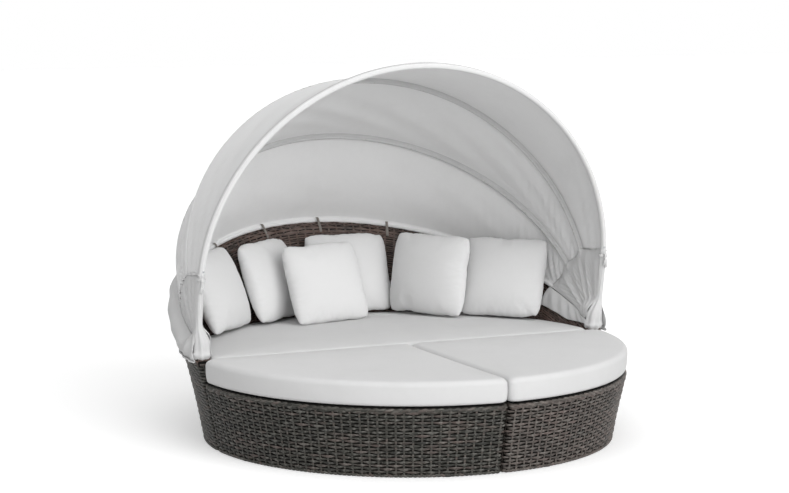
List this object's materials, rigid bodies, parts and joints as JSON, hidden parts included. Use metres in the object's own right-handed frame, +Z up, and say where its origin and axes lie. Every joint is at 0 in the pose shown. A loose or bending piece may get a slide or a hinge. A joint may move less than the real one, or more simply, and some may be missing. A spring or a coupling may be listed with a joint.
{
  "type": "outdoor daybed with canopy",
  "caption": "Round woven daybed in a half-round sofa and quarter-round ottomans, with boxed cushions, loose pillows and a hinged bow canopy that folds back.",
  "frame": {"origin": "on the floor, under the middle of the bounding box at rest", "axes": "+Z up, +Y towards the sofa back, +X towards the right arm seen from the front; the ottomans stand at -Y"},
  "size_m": [1.9562, 2.0446, 1.6025],
  "materials": {
    "wicker": "flat woven resin strands, dark grey-brown",
    "steel": "dark powder coat",
    "bow_tube": "light powder coat",
    "zinc": "zinc plated",
    "plastic": "moulded black",
    "canopy_cloth": "pale grey woven outdoor cloth",
    "cushion_cloth": "off-white outdoor cloth over foam and fibre"
  },
  "bodies": {
    "sofa": {"sofa_outer_weave": "wicker", "sofa_inner_weave": "wicker", "sofa_front_weave": "wicker", "sofa_rim_braid": "wicker", "sofa_frame": "steel", "sofa_deck": "wicker", "sofa_foot_1": "plastic", "sofa_foot_2": "plastic", "sofa_foot_3": "plastic", "sofa_foot_4": "plastic", "sofa_foot_5": "plastic", "right_pivot_bracket": "steel", "right_pivot_bolt": "zinc", "right_pivot_nut": "zinc", "left_pivot_bracket": "steel", "left_pivot_bolt": "zinc", "left_pivot_nut": "zinc", "bow_rear": "bow_tube", "canopy_gore_rear": "canopy_cloth", "right_skirt_rear": "canopy_cloth", "left_skirt_rear": "canopy_cloth", "right_boot": "canopy_cloth", "left_boot": "canopy_cloth", "rim_strap_1": "canopy_cloth", "rim_strap_2": "canopy_cloth", "rim_strap_3": "canopy_cloth", "rim_strap_4": "canopy_cloth"},
    "seat": {"seat_cushion": "cushion_cloth", "pillow_1": "cushion_cloth", "pillow_2": "cushion_cloth", "pillow_3": "cushion_cloth", "pillow_4": "cushion_cloth", "pillow_5": "cushion_cloth", "pillow_6": "cushion_cloth"},
    "bow_back": {"bow_back": "bow_tube", "canopy_gore_middle": "canopy_cloth", "right_skirt_middle": "canopy_cloth", "left_skirt_middle": "canopy_cloth"},
    "bow_middle": {"bow_middle": "bow_tube", "canopy_gore_front": "canopy_cloth", "right_skirt_front": "canopy_cloth", "left_skirt_front": "canopy_cloth"},
    "bow_front": {"bow_front": "bow_tube"},
    "ottoman_right": {"ottoman_right_weave": "wicker", "ottoman_right_frame": "steel", "ottoman_right_deck": "wicker", "ottoman_right_foot_1": "plastic", "ottoman_right_foot_2": "plastic", "ottoman_right_foot_3": "plastic"},
    "ottoman_left": {"ottoman_left_weave": "wicker", "ottoman_left_frame": "steel", "ottoman_left_deck": "wicker", "ottoman_left_foot_1": "plastic", "ottoman_left_foot_2": "plastic", "ottoman_left_foot_3": "plastic"},
    "ottoman_right_seat": {"ottoman_right_cushion": "cushion_cloth"},
    "ottoman_left_seat": {"ottoman_left_cushion": "cushion_cloth"}
  },
  "joints": [
    {"name": "canopy_back_bow", "type": "hinge", "parent": "sofa", "child": "bow_back", "pos_m": [0, -0.05048, 0.4304], "axis": [-1, 0, 0], "range_deg": [0, 16], "deforming": ["canopy_gore_rear", "right_skirt_rear", "left_skirt_rear"]},
    {"name": "canopy_middle_bow", "type": "hinge", "parent": "bow_back", "child": "bow_middle", "pos_m": [0, -0.05048, 0.4304], "axis": [-1, 0, 0], "range_deg": [0, 16], "deforming": ["canopy_gore_middle", "right_skirt_middle", "left_skirt_middle"]},
    {"name": "canopy_front_bow", "type": "hinge", "parent": "bow_middle", "child": "bow_front", "pos_m": [0, -0.05048, 0.4304], "axis": [-1, 0, 0], "range_deg": [0, 24], "deforming": ["canopy_gore_front", "right_skirt_front", "left_skirt_front"]},
    {"name": "seat_cushion_lift", "type": "slide", "parent": "sofa", "child": "seat", "axis": [0, 0, 1], "range_m": [0, 0.08]},
    {"name": "ottoman_right_pull", "type": "slide", "parent": "sofa", "child": "ottoman_right", "axis": [0, -1, 0], "range_m": [0, 0.6]},
    {"name": "ottoman_left_pull", "type": "slide", "parent": "sofa", "child": "ottoman_left", "axis": [0, -1, 0], "range_m": [0, 0.6]},
    {"name": "ottoman_right_cushion_lift", "type": "slide", "parent": "ottoman_right", "child": "ottoman_right_seat", "axis": [0, 0, 1], "range_m": [0, 0.25]},
    {"name": "ottoman_left_cushion_lift", "type": "slide", "parent": "ottoman_left", "child": "ottoman_left_seat", "axis": [0, 0, 1], "range_m": [0, 0.25]}
  ],
  "couplings": [
    {"joint": "canopy_middle_bow", "follows": "canopy_back_bow", "ratio": 1},
    {"joint": "canopy_front_bow", "follows": "canopy_back_bow", "ratio": 1.5}
  ]
}
